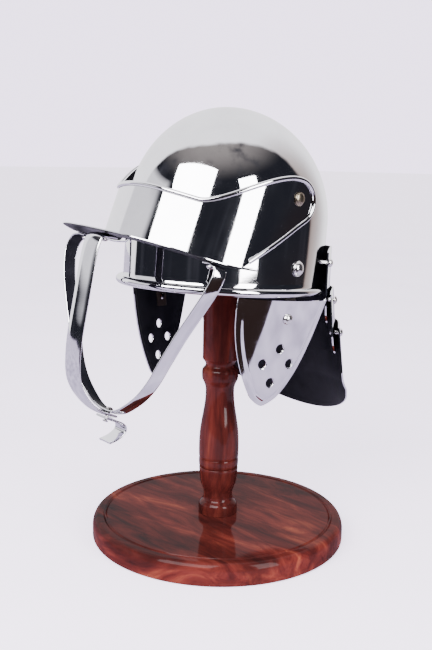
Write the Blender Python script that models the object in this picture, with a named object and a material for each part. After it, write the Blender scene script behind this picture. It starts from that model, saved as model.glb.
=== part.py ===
"""A lobster-tailed pot helmet on a turned wooden stand.

Units are metres, +Z is up, and the helmet looks along -Y, so the wearer's left is +X.
The origin is the middle of the stand's underside. The bowl has its own frame, with its
rim in the XY plane, and the visor has one whose origin is the pivot line and whose XY
plane is parallel to the peak. Both are tipped back about X, as the helmet rests.
"""

import math

import bmesh
import bpy
from mathutils import Matrix, Vector

GAP = 0.0004  # between pieces that touch

# Stand
BASE_RADIUS = 0.140
BASE_HEIGHT = 0.024
BASE_TOP_RADIUS = 0.1335
GROOVE_RADIUS = 0.126
POST_TENON_RADIUS = 0.014
POST_TENON_DEPTH = 0.014
HEAD_RADIUS = 0.044
POST_TOP = 0.4395

# Bowl, in its own frame
RIM_CENTRE = Vector((0.0, 0.0, 0.2836))
RIM_TILT = math.radians(4.3)
HALF_WIDTH = 0.0965
HALF_FRONT = 0.1125
HALF_BACK = 0.1230
HALF_NAPE = 0.1130  # how far back the bowl reaches at its rim
WALL_HEIGHT = 0.0690
DOME_RISE = 0.1160
SHEET = 0.0015
ROLL_RADIUS = 0.0045

# Visor, in its own frame
PIVOT = Vector((0.0, 0.0045, 0.3840))
VISOR_TILT = math.radians(20.5)
VISOR_SKEW = math.radians(3.8)  # the right rivet sits higher than the left one
BAND_HALF_WIDTH = 0.1010
BAND_FRONT = 0.1120
BAND_BOTTOM = -0.0890
EAR_RADIUS = 0.0240
EAR_DROP = -0.0030  # the middle of the ear, below the pivot
BEAD_RADIUS = 0.0024
HORN_ANGLE = math.radians(69)  # where the peak ends and the band's lower edge starts to rise
PEAK_THICKNESS = 0.0015
PEAK_FRONT = 0.1520
PEAK_SIDE = 0.1210
PEAK_POWER = 2.5
PEAK_LIFT = 0.009  # how far the horns rise above the peak
PEAK_DROOP = 0.0035
PEAK_TOP = BAND_BOTTOM - GAP
PIVOT_SHANK = 0.0025

# Face guard
BAR_WIDTH = 0.0135
BAR_THICKNESS = 0.0022

# Cheek pieces
CHEEK_LEAN = 0.13
CHEEK_HEIGHT = 0.112
CHEEK_TOP_HALF = 0.0545
CHEEK_TIP = 0.0090
CHEEK_HOLE_RADIUS = 0.0050
CHEEK_RIVET_X = -0.003
CHEEK_RIVET_Z = -0.019
STRAP_WIDTH = 0.014
STRAP_THICKNESS = 0.002

# Neck guard
LAMES = (
    # name, half span in degrees, half width, reach back, top, bottom (from the rim), flare, droop
    ("lame_upper", 59, 0.1050, 0.1275, 0.047, -0.036, 0.003, 0.004),
    ("lame_middle", 59, 0.1110, 0.1335, 0.003, -0.068, 0.0085, 0.006),
    ("lame_lower", 52, 0.1205, 0.1430, -0.034, -0.108, 0.0115, 0.042),
)
TAIL_RIVETS = (
    # name, lame under the head, angle from the back in degrees, height above the rim
    ("tail_rivet", 0, 55, 0.030),
    ("lame_rivet_upper", 1, 50, -0.010),
    ("lame_rivet_lower", 2, 43, -0.047),
)

# Rivets
PIVOT_HEAD_RADIUS = 0.0070
BOWL_HEAD_RADIUS = 0.0080
CHEEK_HEAD_RADIUS = 0.0056
TAIL_HEAD_RADIUS = 0.0048
GUARD_HEAD_RADIUS = 0.0040

BOWL_FRAME = Matrix.Translation(RIM_CENTRE) @ Matrix.Rotation(-RIM_TILT, 4, "X")
GUARD_FRAME = Matrix.Translation(PIVOT) @ Matrix.Rotation(VISOR_SKEW, 4, "Y")
VISOR_FRAME = GUARD_FRAME @ Matrix.Rotation(-VISOR_TILT, 4, "X")


def clear_scene():
    for old in list(bpy.data.objects):
        bpy.data.objects.remove(old, do_unlink=True)


def material(name, colour, metallic, roughness):
    made = bpy.data.materials.new(name)
    made.use_nodes = True
    shader = made.node_tree.nodes["Principled BSDF"]
    shader.inputs["Base Color"].default_value = (*colour, 1.0)
    shader.inputs["Metallic"].default_value = metallic
    shader.inputs["Roughness"].default_value = roughness
    return made


clear_scene()
CHROME = material("chrome", (0.80, 0.80, 0.82), 1.0, 0.06)
BRASS = material("brass", (0.72, 0.60, 0.40), 1.0, 0.22)
ROSEWOOD = material("rosewood", (0.20, 0.045, 0.02), 0.0, 0.25)
LEATHER = material("leather", (0.05, 0.03, 0.02), 0.0, 0.6)


def mesh_object(name, points, faces, look, frame=None):
    """One closed mesh, welded where its points meet, with its faces turned outwards."""
    mesh = bpy.data.meshes.new(name)
    built = bmesh.new()
    corners = [built.verts.new(point) for point in points]
    for face in faces:
        built.faces.new([corners[i] for i in face])
    bmesh.ops.remove_doubles(built, verts=built.verts, dist=2e-5)
    bmesh.ops.dissolve_degenerate(built, edges=built.edges, dist=1e-6)
    if frame is not None:
        bmesh.ops.transform(built, matrix=frame, verts=built.verts)
    bmesh.ops.recalc_face_normals(built, faces=built.faces)
    built.to_mesh(mesh)
    built.free()
    mesh.shade_smooth()
    mesh.set_sharp_from_angle(angle=math.radians(35))
    mesh.materials.append(look)
    made = bpy.data.objects.new(name, mesh)
    bpy.context.collection.objects.link(made)
    return made


def grid_faces(rows, columns, first=0, wrap_rows=False, wrap_columns=False, flip=False):
    faces = []
    for r in range(rows if wrap_rows else rows - 1):
        for c in range(columns if wrap_columns else columns - 1):
            below, beside = (r + 1) % rows, (c + 1) % columns
            face = [first + r * columns + c, first + r * columns + beside,
                    first + below * columns + beside, first + below * columns + c]
            faces.append(face[::-1] if flip else face)
    return faces


def tube(name, sections, look, frame=None, closed=False):
    """A solid through closed sections, each a list of points, with its ends filled."""
    count = len(sections[0])
    points = [point for section in sections for point in section]
    faces = grid_faces(len(sections), count, wrap_rows=closed, wrap_columns=True)
    if not closed:
        last = (len(sections) - 1) * count
        faces.append(list(range(count))[::-1])
        faces.append([last + i for i in range(count)])
    return mesh_object(name, points, faces, look, frame)


def shell(name, outer, inner, look, frame=None, wrap=False):
    """A sheet between two grids of points with the same rows and columns."""
    rows, columns = len(outer), len(outer[0])
    total = rows * columns
    points = [p for row in outer for p in row] + [p for row in inner for p in row]
    faces = grid_faces(rows, columns, 0, wrap_columns=wrap)
    faces += grid_faces(rows, columns, total, wrap_columns=wrap, flip=True)
    for r in (0, rows - 1):
        for c in range(columns if wrap else columns - 1):
            a, b = r * columns + c, r * columns + (c + 1) % columns
            faces.append([a, b, total + b, total + a])
    if not wrap:
        for c in (0, columns - 1):
            for r in range(rows - 1):
                a, b = r * columns + c, (r + 1) * columns + c
                faces.append([a, b, total + b, total + a])
    return mesh_object(name, points, faces, look, frame)


def turned(name, profile, look, frame=None, steps=36):
    """A solid turned about Z from (radius, height) points that run from axis to axis."""
    sections = []
    for i in range(steps):
        angle = 2 * math.pi * i / steps
        sections.append([Vector((r * math.cos(angle), r * math.sin(angle), z)) for r, z in profile])
    count = len(profile)
    points = [p for section in sections for p in section]
    faces = []
    for i in range(steps):
        for k in range(count - 1):
            j = (i + 1) % steps
            faces.append([i * count + k, j * count + k, j * count + k + 1, i * count + k + 1])
    return mesh_object(name, points, faces, look, frame)


def pierce(piece, radius, start, end, sides=12):
    """Cuts a round hole through a piece, from start to end."""
    middle, along = (start + end) / 2, end - start
    cutter = turned("hole", [(0, -0.5), (radius, -0.5), (radius, 0.5), (0, 0.5)], CHROME, steps=sides)
    turn = along.to_track_quat("Z", "Y").to_matrix().to_4x4()
    size = Matrix.Diagonal((1.0, 1.0, along.length, 1.0))
    cutter.data.transform(Matrix.Translation(middle) @ turn @ size)
    cut = piece.modifiers.new("hole", "BOOLEAN")
    cut.operation = "DIFFERENCE"
    cut.object = cutter
    with bpy.context.temp_override(object=piece, active_object=piece):
        bpy.ops.object.modifier_apply(modifier=cut.name)
    bpy.data.objects.remove(cutter, do_unlink=True)


def rivet(name, place, outward, head, shank, length, look, frame=None, tail=0.0015):
    """A domed head outside, a shank of the given length inwards, and a peened tail."""
    rise = head * 0.62
    profile = [(0.0, rise)]
    for i in range(1, 3):
        angle = math.radians(90 - 45 * i)
        profile.append((head * math.cos(angle), rise * math.sin(angle)))
    profile += [(shank, 0.0), (shank, -length)]
    if tail:
        profile += [(shank * 1.6, -length), (shank * 1.6, -length - tail * 0.5)]
        profile += [(shank * 0.9, -length - tail)]
    else:
        profile += [(shank, -length)]
    profile.append((0.0, profile[-1][1]))
    turn = outward.to_track_quat("Z", "Y").to_matrix().to_4x4()
    placed = Matrix.Translation(place) @ turn
    if frame is not None:
        placed = frame @ placed
    return turned(name, profile, look, placed, steps=12)


def smooth_path(points, samples):
    """A Catmull-Rom curve through the points, sampled evenly between them."""
    ends = [points[0] * 2 - points[1]] + list(points) + [points[-1] * 2 - points[-2]]
    made = []
    for i in range(len(points) - 1):
        a, b, c, d = ends[i:i + 4]
        for k in range(samples):
            t = k / samples
            made.append(0.5 * ((b * 2) + (c - a) * t + (a * 2 - b * 5 + c * 4 - d) * t * t
                               + (b * 3 - a - c * 3 + d) * t ** 3))
    made.append(points[-1].copy())
    return made


def strip(name, path, sideways, widths, thickness, look, crown=0.0, frame=None):
    """A flat bar along a path; sideways points across it, and crown bows its outer face."""
    sections = []
    across = (-0.5, -0.3, 0.0, 0.3, 0.5) if crown else (-0.5, 0.5)
    for i, point in enumerate(path):
        ahead = path[min(i + 1, len(path) - 1)] - path[max(i - 1, 0)]
        ahead.normalize()
        side = sideways[i] - ahead * sideways[i].dot(ahead)
        side.normalize()
        out = ahead.cross(side)
        top = [point + side * (widths[i] * a) + out * (thickness / 2 + crown * (1 - 4 * a * a))
               for a in across]
        bottom = [p - out * thickness for p in top]
        sections.append(top + bottom[::-1])
    return tube(name, sections, look, frame)


# ---------------------------------------------------------------- stand

def make_stand():
    edge = 0.0055
    profile = [(0, 0), (BASE_RADIUS - 0.003, 0)]
    for i in range(4):
        angle = math.radians(-90 + 30 * i)
        profile.append((BASE_RADIUS - 0.003 + 0.003 * math.cos(angle), 0.003 + 0.003 * math.sin(angle)))
    for i in range(5):
        angle = math.radians(22.5 * i)
        x = BASE_TOP_RADIUS + (BASE_RADIUS - BASE_TOP_RADIUS) * math.cos(angle)
        profile.append((x, BASE_HEIGHT - 2 * edge + 2 * edge * math.sin(angle)))
    profile += [(GROOVE_RADIUS + 0.0016, BASE_HEIGHT), (GROOVE_RADIUS, BASE_HEIGHT - 0.0016)]
    profile += [(GROOVE_RADIUS - 0.0016, BASE_HEIGHT)]
    profile += [(POST_TENON_RADIUS, BASE_HEIGHT)]
    profile += [(POST_TENON_RADIUS, BASE_HEIGHT - POST_TENON_DEPTH), (0, BASE_HEIGHT - POST_TENON_DEPTH)]
    turned("stand_base", profile, ROSEWOOD, steps=44)

    turnings = [
        (0.0215, 0.0), (0.0215, 0.009), (0.0200, 0.0124), (0.0165, 0.0165), (0.0162, 0.0242),
        (0.0180, 0.030), (0.0200, 0.0362), (0.0213, 0.0474), (0.0215, 0.0525), (0.0200, 0.0537),
        (0.0217, 0.0550), (0.0219, 0.0630), (0.0203, 0.0642), (0.0220, 0.0655), (0.0221, 0.0824),
        (0.0213, 0.0950), (0.0197, 0.1062), (0.0178, 0.1174), (0.0162, 0.1286), (0.0157, 0.1398),
        (0.0163, 0.1454), (0.0180, 0.1500), (0.0196, 0.1535), (0.0201, 0.1585), (0.0196, 0.1640),
        (0.0162, 0.1685), (0.0170, 0.1725), (0.0195, 0.1758),
    ]
    start = BASE_HEIGHT + GAP
    profile = [(0, BASE_HEIGHT - POST_TENON_DEPTH + GAP)]
    profile += [(POST_TENON_RADIUS - GAP, BASE_HEIGHT - POST_TENON_DEPTH + GAP)]
    profile += [(POST_TENON_RADIUS - GAP, start)]
    profile += [(r, start + z) for r, z in turnings]
    profile += [(0.0195, POST_TOP), (0, POST_TOP)]
    turned("stand_post", profile, ROSEWOOD, steps=20)


def make_head():
    """A domed cap on the post, just inside the top of the bowl."""
    low = POST_TOP + GAP
    profile = [(0, low), (HEAD_RADIUS - 0.003, low)]
    crown = BOWL_FRAME @ Vector((0, 0, WALL_HEIGHT + DOME_RISE - SHEET))
    for i in range(9):
        share = 1 - i / 8
        radius = HEAD_RADIUS * share
        spread = (HALF_WIDTH - SHEET) / (DOME_RISE - SHEET)
        drop = (DOME_RISE - SHEET) - math.sqrt((DOME_RISE - SHEET) ** 2 - (radius / spread) ** 2)
        profile.append((radius, crown.z - 0.0040 - drop * 1.04))
    turned("stand_head", profile, ROSEWOOD, steps=24)


# ---------------------------------------------------------------- bowl

def bowl_point(angle, height, inset=0.0):
    """A point on the bowl: angle 0 is the front, and height is above the rim plane."""
    width, front, back = HALF_WIDTH - inset, HALF_FRONT - inset, HALF_BACK - inset
    if height > WALL_HEIGHT:
        rise = min((height - WALL_HEIGHT) / (DOME_RISE - inset), 1.0)
        shrink = math.sqrt(max(1 - rise * rise, 0.0))
    else:
        shrink = 1.0
        low = 1 - height / WALL_HEIGHT
        back -= (HALF_BACK - HALF_NAPE) * low * low
    reach = front if math.cos(angle) > 0 else back
    return Vector((width * shrink * math.sin(angle), -reach * shrink * math.cos(angle), height))


def bowl_heights(inset, rows):
    """Heights from the rim to the crown, closer together towards the crown."""
    top = WALL_HEIGHT + DOME_RISE - inset
    low = [WALL_HEIGHT * k / 4 for k in range(1, 4)]
    high = [WALL_HEIGHT + (top - WALL_HEIGHT) * math.sin(math.pi / 2 * k / rows) for k in range(rows + 1)]
    return low + high


def make_bowl():
    """Outer wall from the crown down, round the outward roll, and up the inner wall."""
    columns, rows = 36, 9
    sections = []
    for c in range(columns):
        angle = 2 * math.pi * c / columns
        edge = bowl_point(angle, 0.0)
        away = Vector((edge.x, edge.y, 0)).normalized()
        ring = [bowl_point(angle, h) for h in reversed(bowl_heights(0.0, rows))]
        centre = edge + away * (ROLL_RADIUS - SHEET)
        for k in range(9):
            turn = math.radians(115 - 33 * k)
            ring.append(centre + away * (ROLL_RADIUS * math.cos(turn)) + Vector((0, 0, ROLL_RADIUS * math.sin(turn))))
        ring += [bowl_point(angle, h, SHEET) for h in bowl_heights(SHEET, rows)]
        sections.append(ring)
    count = len(sections[0])
    points = [p for section in sections for p in section]
    faces = grid_faces(columns, count, wrap_rows=True)
    bowl = mesh_object("bowl", points, faces, CHROME, BOWL_FRAME)
    return bowl


# ---------------------------------------------------------------- visor

def band_point(angle, height, inset=0.0):
    """A point on the visor's band: angle 0 is the front, 90 degrees the left pivot."""
    across = math.sin(angle) if abs(angle) < math.pi / 2 else math.copysign(1.0, angle)
    return Vector(((BAND_HALF_WIDTH - inset) * across, -(BAND_FRONT - inset) * math.cos(angle), height))


def band_top(angle):
    """Height of the band's upper edge: lowest over the brow, rising to the ears."""
    share = min(abs(angle) / (math.pi / 2), 1.0)
    dip = -0.0335 - 0.0012 * math.sin(math.pi * min(share / 0.72, 1.0)) ** 2
    lift = max(share - 0.40, 0.0) / 0.60
    return dip + (EAR_DROP + EAR_RADIUS - dip) * (lift * lift * (3 - 2 * lift)) ** 0.85


def peak_lift(angle):
    """How far the peak's root rises towards its horns, at an angle round the band."""
    return PEAK_LIFT * (max(abs(angle) - math.radians(48), 0.0) / math.radians(29)) ** 2


def band_bottom(angle):
    """Height of the band's lower edge: along the peak, then a straight line that meets the ear's round."""
    if abs(angle) <= HORN_ANGLE:
        return BAND_BOTTOM + peak_lift(angle)
    across = (math.pi / 2 - HORN_ANGLE) * BAND_FRONT
    start = BAND_BOTTOM + peak_lift(HORN_ANGLE)
    span = math.hypot(across, EAR_DROP - start)
    slope = math.atan2(EAR_DROP - start, across) - math.asin(EAR_RADIUS / span)
    along = (abs(angle) - math.pi / 2) * BAND_FRONT
    line = start + (along + across) * math.tan(slope)
    if along < EAR_RADIUS * math.sin(slope):
        return line
    return EAR_DROP - math.sqrt(max(EAR_RADIUS ** 2 - along ** 2, 0.0))


def band_columns():
    """(angle, top, bottom) from the right ear round the brow to the left ear."""
    ear = EAR_RADIUS / BAND_FRONT
    turns = [math.radians(15 * k) for k in range(1, 7)]
    left = [(math.pi / 2 + ear * math.sin(t), EAR_DROP + EAR_RADIUS * math.cos(t),
             band_bottom(math.pi / 2 + ear * math.sin(t))) for t in turns]
    count = 18
    middle = []
    for k in range(-count, count + 1):
        angle = math.pi / 2 * k / count
        middle.append((angle, band_top(angle), band_bottom(angle)))
    return [(-a, t, b) for a, t, b in reversed(left)] + middle + left


def make_band():
    rows = 4
    outer, inner = [], []
    for inset, grid in ((0.0, outer), (SHEET, inner)):
        for r in range(rows):
            share = r / (rows - 1)
            grid.append([band_point(a, t + (b - t) * share, inset) for a, t, b in band_columns()])
    band = shell("visor_band", outer, inner, CHROME, VISOR_FRAME)
    for side in (-1, 1):
        start = VISOR_FRAME @ Vector((side * (BAND_HALF_WIDTH - 0.01), 0, 0))
        end = VISOR_FRAME @ Vector((side * (BAND_HALF_WIDTH + 0.01), 0, 0))
        pierce(band, PIVOT_SHANK + 0.0003, start, end)


def make_border():
    """A half-round edging on the band's outer face, round its top edge and both ears."""
    columns = band_columns()
    inset = BEAD_RADIUS
    route = []
    for a, t, b in columns:
        near = min(1.0, (t - b) / (2 * EAR_RADIUS))
        route.append(band_point(a, t - inset * near, -GAP))
    ear = len(route)
    for a, t, b in reversed([column for column in columns[:-1] if column[0] > HORN_ANGLE + 0.02]):
        near = min(1.0, (t - b) / (2 * EAR_RADIUS))
        route.append(band_point(a, b + inset * near, -GAP))
    right = [Vector((-p.x, p.y, p.z)) for p in route[ear:]]
    route = right[::-1] + route
    sections = []
    for i, point in enumerate(route):
        ahead = (route[min(i + 1, len(route) - 1)] - route[max(i - 1, 0)]).normalized()
        out = Vector((point.x / BAND_HALF_WIDTH ** 2, point.y / BAND_FRONT ** 2, 0)).normalized()
        side = ahead.cross(out).normalized()
        ring = []
        for k in range(5):
            turn = math.pi * k / 4
            ring.append(point + side * (BEAD_RADIUS * math.cos(turn)) + out * (BEAD_RADIUS * 0.9 * math.sin(turn)))
        sections.append(ring)
    tube("visor_border", sections, CHROME, VISOR_FRAME)


def peak_edge(angle):
    """The peak's outer edge, a rounded outline that ends in a horn at each side."""
    x, y = math.sin(angle), math.cos(angle)
    size = (abs(x / PEAK_SIDE) ** PEAK_POWER + abs(y / PEAK_FRONT) ** PEAK_POWER) ** (-1 / PEAK_POWER)
    return Vector((x * size, -y * size, PEAK_TOP))


def make_peak():
    count = 24
    reach = math.radians(76)
    top, bottom = [], []
    for r in range(4):
        share = r / 3
        row = []
        for k in range(-count, count + 1):
            part = k / count
            angle = reach * part
            edge = peak_edge(angle)
            flat = math.atan2(edge.x / BAND_HALF_WIDTH, -edge.y / BAND_FRONT)
            root = band_point(flat, PEAK_TOP, 0.0035)
            fade = max(abs(part) - 0.86, 0.0) / 0.14
            edge = edge.lerp(root, fade ** 2.2 * 0.93)
            point = root.lerp(edge, share)
            point.z += peak_lift(flat) - PEAK_DROOP * (share * math.cos(reach * part)) ** 2
            row.append(point)
        top.append(row)
        bottom.append([p - Vector((0, 0, PEAK_THICKNESS)) for p in row])
    return shell("visor_peak", top, bottom, CHROME, VISOR_FRAME)


def guard_point(side, forward, height):
    """A point given as distances from the pivot line: to the wearer's left, forward and up."""
    return Vector((side, -forward - PIVOT.y, height - 0.378))


def make_guard(peak):
    """Two side bars in one bent strip, a bowed centre bar, and the hook under the chin."""
    right = [
        guard_point(-0.0900, 0.1070, 0.3196), guard_point(-0.1010, 0.1070, 0.3192),
        guard_point(-0.1105, 0.1080, 0.3145), guard_point(-0.1135, 0.1130, 0.2990),
        guard_point(-0.1060, 0.1190, 0.2750), guard_point(-0.0925, 0.1250, 0.2500),
        guard_point(-0.0765, 0.1310, 0.2230), guard_point(-0.0640, 0.1360, 0.1990),
        guard_point(-0.0480, 0.1400, 0.1810), guard_point(-0.0250, 0.1425, 0.1650),
        guard_point(-0.0110, 0.1430, 0.1592),
    ]
    left = [
        guard_point(0.0110, 0.1430, 0.1592), guard_point(0.0235, 0.1425, 0.1650),
        guard_point(0.0430, 0.1400, 0.1810), guard_point(0.0560, 0.1360, 0.1990),
        guard_point(0.0675, 0.1310, 0.2230), guard_point(0.0805, 0.1250, 0.2500),
        guard_point(0.0940, 0.1190, 0.2750), guard_point(0.1060, 0.1130, 0.2990),
        guard_point(0.1080, 0.1080, 0.3145), guard_point(0.1010, 0.1070, 0.3192),
        guard_point(0.0900, 0.1070, 0.3196),
    ]
    path = smooth_path(left[::-1] + [guard_point(0.0, 0.1430, 0.1580)] + right[::-1], 3)
    across = []
    for p in path:
        twist = 0.33 if p.x > 0 else 0.45
        across.append(Vector((min(abs(p.x) / 0.06, 1.0) * twist, 0.887, -0.337)))
    sides = strip("guard_side_bars", path, across, [BAR_WIDTH] * len(path), BAR_THICKNESS, CHROME,
                  frame=GUARD_FRAME)

    route = [
        guard_point(0, 0.1500, 0.3340), guard_point(0, 0.1600, 0.3358), guard_point(0, 0.1685, 0.3345),
        guard_point(0, 0.1750, 0.3150), guard_point(0, 0.1819, 0.2753), guard_point(0, 0.1881, 0.2371),
        guard_point(0, 0.1889, 0.2080), guard_point(0, 0.1846, 0.1905), guard_point(0, 0.1735, 0.1745),
        guard_point(0, 0.1600, 0.1633), guard_point(0, 0.1390, 0.1530),
    ]
    path = smooth_path(route, 3)
    widths = [0.0235 - 0.006 * max(i / (len(path) - 1) - 0.6, 0.0) / 0.4 for i in range(len(path))]
    centre = strip("guard_centre_bar", path, [Vector((1, 0, 0))] * len(path), widths, BAR_THICKNESS, CHROME,
                   crown=0.0016, frame=GUARD_FRAME)

    route = [
        guard_point(0, 0.1520, 0.1538), guard_point(0, 0.1440, 0.1500), guard_point(0, 0.1335, 0.1455),
        guard_point(0, 0.1270, 0.1400), guard_point(0, 0.1277, 0.1335), guard_point(0, 0.1364, 0.1285),
        guard_point(0, 0.1470, 0.1264),
    ]
    path = smooth_path(route, 3)
    hook = strip("chin_hook", path, [Vector((1, 0, 0))] * len(path), [0.018] * len(path), 0.002, CHROME,
                 frame=GUARD_FRAME)

    through = (VISOR_FRAME.to_3x3() @ Vector((0, 0, 1))).normalized()
    for name, place, below, sunk, bar in (
            ("guard_rivet_right", guard_point(-0.0950, 0.1070, 0.3194), 0.0022, 0.0009, sides),
            ("guard_rivet_centre", guard_point(0, 0.1560, 0.3350), 0.0028, 0.0014, centre),
            ("guard_rivet_left", guard_point(0.0950, 0.1070, 0.3194), 0.0022, 0.0009, sides)):
        seat = GUARD_FRAME @ place - through * below
        top = VISOR_FRAME @ Vector((0, 0, PEAK_TOP - sunk))
        length = (top - seat).dot(through)
        rivet(name, seat, -through, GUARD_HEAD_RADIUS, 0.0018, length, CHROME, tail=0.0)
        for piece in (peak, bar):
            pierce(piece, 0.0021, seat - through * 0.001, seat + through * 0.03)

    along = (GUARD_FRAME.to_3x3() @ Vector((0, 0.40, 0.917))).normalized()
    place = GUARD_FRAME @ guard_point(0, 0.1430, 0.1580) + along * 0.0016
    rivet("chin_rivet", place, along, GUARD_HEAD_RADIUS, 0.0018, 0.0118, CHROME)
    for piece in (sides, centre, hook):
        pierce(piece, 0.0021, place - along * 0.020, place + along * 0.003)


# ---------------------------------------------------------------- cheek pieces

def cheek_frame(side):
    """Origin at the middle of the plate's top edge, +X forward, +Y outward, +Z up."""
    front = Vector((side * 0.0862, -0.0605, 0.2815))
    rear = Vector((side * 0.1118, 0.0472, 0.2722))
    forward = (front - rear).normalized()
    up = Vector((0, 0, 1))
    out = up.cross(forward) if side > 0 else forward.cross(up)
    out.normalize()
    out = (out - up * CHEEK_LEAN).normalized()
    up = forward.cross(out)
    if up.z < 0:
        up = -up
    return Matrix.Translation((front + rear) / 2) @ Matrix((
        (forward.x, out.x, up.x, 0), (forward.y, out.y, up.y, 0), (forward.z, out.z, up.z, 0), (0, 0, 0, 1)))


def cheek_edges(drop):
    """Front and rear edges of the leaf-shaped plate at a share of its height."""
    front = CHEEK_TOP_HALF - (CHEEK_TOP_HALF - CHEEK_TIP) * 0.80 * drop ** 2.2
    rear = -CHEEK_TOP_HALF + (CHEEK_TOP_HALF + CHEEK_TIP) * (0.55 * drop + 0.32 * drop ** 4)
    if drop > 0.9:
        near = (drop - 0.9) / 0.1
        middle = (front + rear) / 2
        keep = math.sqrt(max(1 - near * near, 0.0))
        front, rear = middle + (front - middle) * keep, middle + (rear - middle) * keep
    return front, rear


def make_cheek(side, word):
    frame = cheek_frame(side)
    outer, inner = [], []
    drops = [k / 12 * 0.9 for k in range(13)] + [0.9 + 0.1 * math.sin(math.pi / 2 * k / 4) for k in range(1, 5)]
    for drop in drops:
        front, rear = cheek_edges(drop)
        row = []
        for k in range(9):
            x = front + (rear - front) * k / 8
            bow = -0.006 * (x / CHEEK_TOP_HALF) ** 2
            row.append(Vector((x, bow, -CHEEK_HEIGHT * drop)))
        outer.append(row)
        inner.append([p - Vector((0, SHEET, 0)) for p in row])
    plate = shell("cheek_plate_" + word, outer, inner, CHROME, frame)
    for x, z in ((0.000, -0.050), (0.018, -0.066), (-0.015, -0.066), (0.005, -0.086)):
        pierce(plate, CHEEK_HOLE_RADIUS, frame @ Vector((x, -0.02, z)), frame @ Vector((x, 0.02, z)))
    return plate


# ---------------------------------------------------------------- neck guard

def lame_point(lame, angle, height, inset=0.0):
    """A point on a lame: angle 0 is the back, and height is above the rim plane."""
    name, span, width, back, top, bottom, flare, droop = lame
    share = (top - height) / (top - bottom)
    out = flare * share - inset
    if name == "lame_lower" and share > 0.8:
        out += 0.003 * min((share - 0.8) / 0.2, 1.0) ** 2
    return Vector(((width + out) * math.sin(angle), (back + out) * math.cos(angle), height))


def make_lame(lame):
    name, span, width, back, top, bottom, flare, droop = lame
    reach = math.radians(span)
    outer, inner = [], []
    rows, columns = 7, 24
    corner = 0.020
    for r in range(rows + 1):
        height = top + (bottom - top) * r / rows
        row_outer, row_inner = [], []
        for c in range(columns + 1):
            part = -1 + 2 * c / columns
            angle = reach * part
            lift = max(abs(part) - 0.82, 0.0) / 0.18
            low = bottom + corner * (1 - math.sqrt(max(1 - lift * lift, 0.0))) - droop * math.cos(math.pi / 2 * part)
            high = top - 0.3 * corner * (1 - math.sqrt(max(1 - lift * lift, 0.0)))
            h = high + (low - high) * r / rows
            row_outer.append(lame_point(lame, angle, h))
            row_inner.append(lame_point(lame, angle, h, SHEET))
        outer.append(row_outer)
        inner.append(row_inner)
    return shell(name, outer, inner, CHROME, BOWL_FRAME)


# ---------------------------------------------------------------- fasteners and straps

def wall_point(side, y, height, inset=0.0):
    """A point on the bowl's side wall at a given distance back, in the bowl's frame."""
    shrink = 1.0
    if height > WALL_HEIGHT:
        shrink = math.sqrt(1 - ((height - WALL_HEIGHT) / (DOME_RISE - inset)) ** 2)
    reach = (HALF_BACK if y > 0 else HALF_FRONT) * shrink
    return Vector((side * ((HALF_WIDTH - inset) * shrink * math.sqrt(1 - (y / reach) ** 2)), y, height))


def make_pivot(side, word, bowl):
    seat = Vector((side * BAND_HALF_WIDTH, 0, 0))
    world = VISOR_FRAME @ seat
    local = BOWL_FRAME.inverted() @ world
    inner = BOWL_FRAME @ wall_point(side, local.y, local.z, SHEET)
    length = (world - inner).length + 0.0024
    rivet("pivot_rivet_" + word, seat + Vector((side * GAP * 1.5, 0, 0)), Vector((side, 0, 0)),
          PIVOT_HEAD_RADIUS, PIVOT_SHANK, length + GAP, BRASS, VISOR_FRAME)
    along = (VISOR_FRAME.to_3x3() @ Vector((side, 0, 0))).normalized()
    pierce(bowl, PIVOT_SHANK + 0.0003, world - along * 0.03, world + along * 0.002)


def make_cheek_hanging(side, word, bowl, plate):
    """Strap from a rivet in the bowl, down inside the rim, to a rivet in the cheek plate."""
    frame = cheek_frame(side)
    inverse = BOWL_FRAME.inverted()
    y, height = 0.0090, 0.0245
    wall = wall_point(side, y, height)
    inside = wall_point(side, y, height, SHEET)
    out = Vector((side, 0.12, 0)).normalized()
    rivet("bowl_rivet_" + word, wall + out * GAP, out, BOWL_HEAD_RADIUS, 0.002,
          SHEET + STRAP_THICKNESS + 0.0030, CHROME, BOWL_FRAME)
    pierce(bowl, 0.0023, BOWL_FRAME @ (wall + out * 0.01), BOWL_FRAME @ (wall - out * 0.01))
    depth = STRAP_THICKNESS / 2 + 0.0014
    top = inside - out * depth + Vector((0, 0, 0.011))
    middle = inside - out * depth
    low = inside - out * depth + Vector((0, 0, -height + 0.003))
    hinge = inverse @ (frame @ Vector((0.0, -0.0062, -0.0020)))
    hinge.y = y + (hinge.y - y) * 0.3
    path = smooth_path([top, middle, low, hinge], 3)
    upper = strip("cheek_strap_upper_" + word, path, [Vector((0, 1, 0))] * len(path),
                  [STRAP_WIDTH] * len(path), STRAP_THICKNESS, LEATHER, frame=BOWL_FRAME)
    pierce(upper, 0.0023, BOWL_FRAME @ (wall + out * 0.01), BOWL_FRAME @ (wall - out * 0.01))

    x = CHEEK_RIVET_X
    bow = -0.006 * (x / CHEEK_TOP_HALF) ** 2
    depth = SHEET + STRAP_THICKNESS / 2 + 0.0007
    path = [Vector((x, bow - depth, z)) for z in (-0.0015, -0.010, -0.020, -0.029)]
    lower = strip("cheek_strap_lower_" + word, path, [Vector((1, 0, 0))] * len(path),
                  [STRAP_WIDTH] * len(path), STRAP_THICKNESS, LEATHER, frame=frame)
    place = Vector((x, bow, CHEEK_RIVET_Z))
    for piece in (plate, lower):
        pierce(piece, 0.0023, frame @ (place + Vector((0, 0.01, 0))), frame @ (place - Vector((0, 0.01, 0))))
    rivet("cheek_rivet_" + word, place + Vector((0, GAP, 0)), Vector((0, 1, 0)), CHEEK_HEAD_RADIUS, 0.002,
          SHEET + STRAP_THICKNESS + 0.0018, CHROME, frame)


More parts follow.
